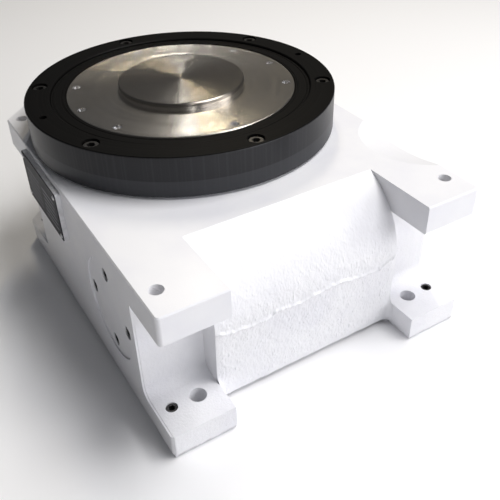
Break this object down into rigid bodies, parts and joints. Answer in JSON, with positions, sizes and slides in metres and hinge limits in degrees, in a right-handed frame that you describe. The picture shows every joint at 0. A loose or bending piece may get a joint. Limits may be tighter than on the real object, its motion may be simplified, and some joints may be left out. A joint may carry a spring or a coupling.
{
  "type": "cam-driven rotary index table",
  "caption": "White cast rotary indexer: an input shaft's barrel cam turns a turret of cam followers, stepping the steel output flange inside a black bearing ring.",
  "frame": {"origin": "centre of the output flange's mounting face, on the turning axis", "axes": "+Z out of the output flange, away from the feet; +X along the camshaft towards its input end; +Y away from the camshaft, along the body's length"},
  "size_m": [0.4116, 0.473, 0.229],
  "materials": {
    "white_paint": "satin white enamel on cast iron, machined edges",
    "black_steel": "blackened turned steel",
    "turned_steel": "face-turned steel, light oil film",
    "ground_steel": "ground bearing steel",
    "black_screw": "black oxide socket screws",
    "zinc_screw": "bright zinc plated",
    "cast_core": "machined cast iron",
    "seal_rubber": "moulded nitrile",
    "plate_black": "anodised black nameplate",
    "plate_backing": "white painted backing",
    "brass_plug": "brass hexagon",
    "sight_window": "clear with oil behind"
  },
  "bodies": {
    "body": {"bearing_ring": "black_steel", "bottom_cover": "white_paint", "bottom_cover_screws": "black_screw", "camshaft_bearing_outers": "ground_steel", "end_cap_left": "white_paint", "end_cap_left_screws": "black_screw", "end_cap_right": "white_paint", "end_cap_right_screws": "black_screw", "housing": "white_paint", "levelling_screws": "black_screw", "main_bearing_outer": "ground_steel", "nameplate": "plate_black", "nameplate_backing": "plate_backing", "nameplate_rivets": "zinc_screw", "oil_drain_plug": "brass_plug", "oil_filler_plug": "brass_plug", "output_seal": "seal_rubber", "ring_dowels": "ground_steel", "ring_screws": "black_screw", "seal_cover": "black_steel", "shaft_seal": "seal_rubber", "sight_bezel": "brass_plug", "sight_glass": "sight_window"},
    "output": {"output_flange": "turned_steel", "turret": "cast_core", "turret_screws": "black_screw", "follower_studs": "ground_steel", "follower_nuts": "zinc_screw", "follower_washers": "ground_steel", "main_bearing_inner": "ground_steel"},
    "camshaft": {"camshaft": "ground_steel", "cam": "ground_steel", "cam_key": "ground_steel", "camshaft_bearing_inners": "ground_steel"},
    "main_bearing_cage": {"main_bearing_rollers": "ground_steel"},
    "camshaft_bearing_cage": {"camshaft_bearing_balls": "ground_steel"},
    "follower_1": {"follower_roller_1": "ground_steel"},
    "follower_2": {"follower_roller_2": "ground_steel"},
    "follower_3": {"follower_roller_3": "ground_steel"},
    "follower_4": {"follower_roller_4": "ground_steel"},
    "follower_5": {"follower_roller_5": "ground_steel"},
    "follower_6": {"follower_roller_6": "ground_steel"},
    "follower_7": {"follower_roller_7": "ground_steel"},
    "follower_8": {"follower_roller_8": "ground_steel"},
    "follower_9": {"follower_roller_9": "ground_steel"},
    "follower_10": {"follower_roller_10": "ground_steel"},
    "follower_11": {"follower_roller_11": "ground_steel"},
    "follower_12": {"follower_roller_12": "ground_steel"}
  },
  "joints": [
    {"name": "output_turn", "type": "hinge", "parent": "body", "child": "output", "pos_m": [0, 0, 0], "axis": [0, 0, 1], "continuous": true},
    {"name": "cam_turn", "type": "hinge", "parent": "body", "child": "camshaft", "pos_m": [0, -0.173, -0.127], "axis": [1, 0, 0], "continuous": true},
    {"name": "main_bearing_roll", "type": "hinge", "parent": "body", "child": "main_bearing_cage", "pos_m": [0, 0, -0.03], "axis": [0, 0, 1], "continuous": true},
    {"name": "camshaft_bearing_roll", "type": "hinge", "parent": "body", "child": "camshaft_bearing_cage", "pos_m": [0, -0.173, -0.127], "axis": [1, 0, 0], "continuous": true},
    {"name": "follower_1_spin", "type": "hinge", "parent": "output", "child": "follower_1", "pos_m": [0, -0.105, -0.127], "axis": [0, -1, 0], "continuous": true},
    {"name": "follower_2_spin", "type": "hinge", "parent": "output", "child": "follower_2", "pos_m": [0.0525, -0.09093, -0.127], "axis": [0.5, -0.866, 0], "continuous": true},
    {"name": "follower_3_spin", "type": "hinge", "parent": "output", "child": "follower_3", "pos_m": [0.09093, -0.0525, -0.127], "axis": [0.866, -0.5, 0], "continuous": true},
    {"name": "follower_4_spin", "type": "hinge", "parent": "output", "child": "follower_4", "pos_m": [0.105, 0, -0.127], "axis": [1, 0, 0], "continuous": true},
    {"name": "follower_5_spin", "type": "hinge", "parent": "output", "child": "follower_5", "pos_m": [0.09093, 0.0525, -0.127], "axis": [0.866, 0.5, 0], "continuous": true},
    {"name": "follower_6_spin", "type": "hinge", "parent": "output", "child": "follower_6", "pos_m": [0.0525, 0.09093, -0.127], "axis": [0.5, 0.866, 0], "continuous": true},
    {"name": "follower_7_spin", "type": "hinge", "parent": "output", "child": "follower_7", "pos_m": [0, 0.105, -0.127], "axis": [0, 1, 0], "continuous": true},
    {"name": "follower_8_spin", "type": "hinge", "parent": "output", "child": "follower_8", "pos_m": [-0.0525, 0.09093, -0.127], "axis": [-0.5, 0.866, 0], "continuous": true},
    {"name": "follower_9_spin", "type": "hinge", "parent": "output", "child": "follower_9", "pos_m": [-0.09093, 0.0525, -0.127], "axis": [-0.866, 0.5, 0], "continuous": true},
    {"name": "follower_10_spin", "type": "hinge", "parent": "output", "child": "follower_10", "pos_m": [-0.105, 0, -0.127], "axis": [-1, 0, 0], "continuous": true},
    {"name": "follower_11_spin", "type": "hinge", "parent": "output", "child": "follower_11", "pos_m": [-0.09093, -0.0525, -0.127], "axis": [-0.866, -0.5, 0], "continuous": true},
    {"name": "follower_12_spin", "type": "hinge", "parent": "output", "child": "follower_12", "pos_m": [-0.0525, -0.09093, -0.127], "axis": [-0.5, -0.866, 0], "continuous": true}
  ],
  "couplings": [
    {"joint": "cam_turn", "follows": "output_turn", "ratio": -12},
    {"joint": "main_bearing_roll", "follows": "output_turn", "ratio": 0.5},
    {"joint": "camshaft_bearing_roll", "follows": "output_turn", "ratio": -4.776}
  ]
}
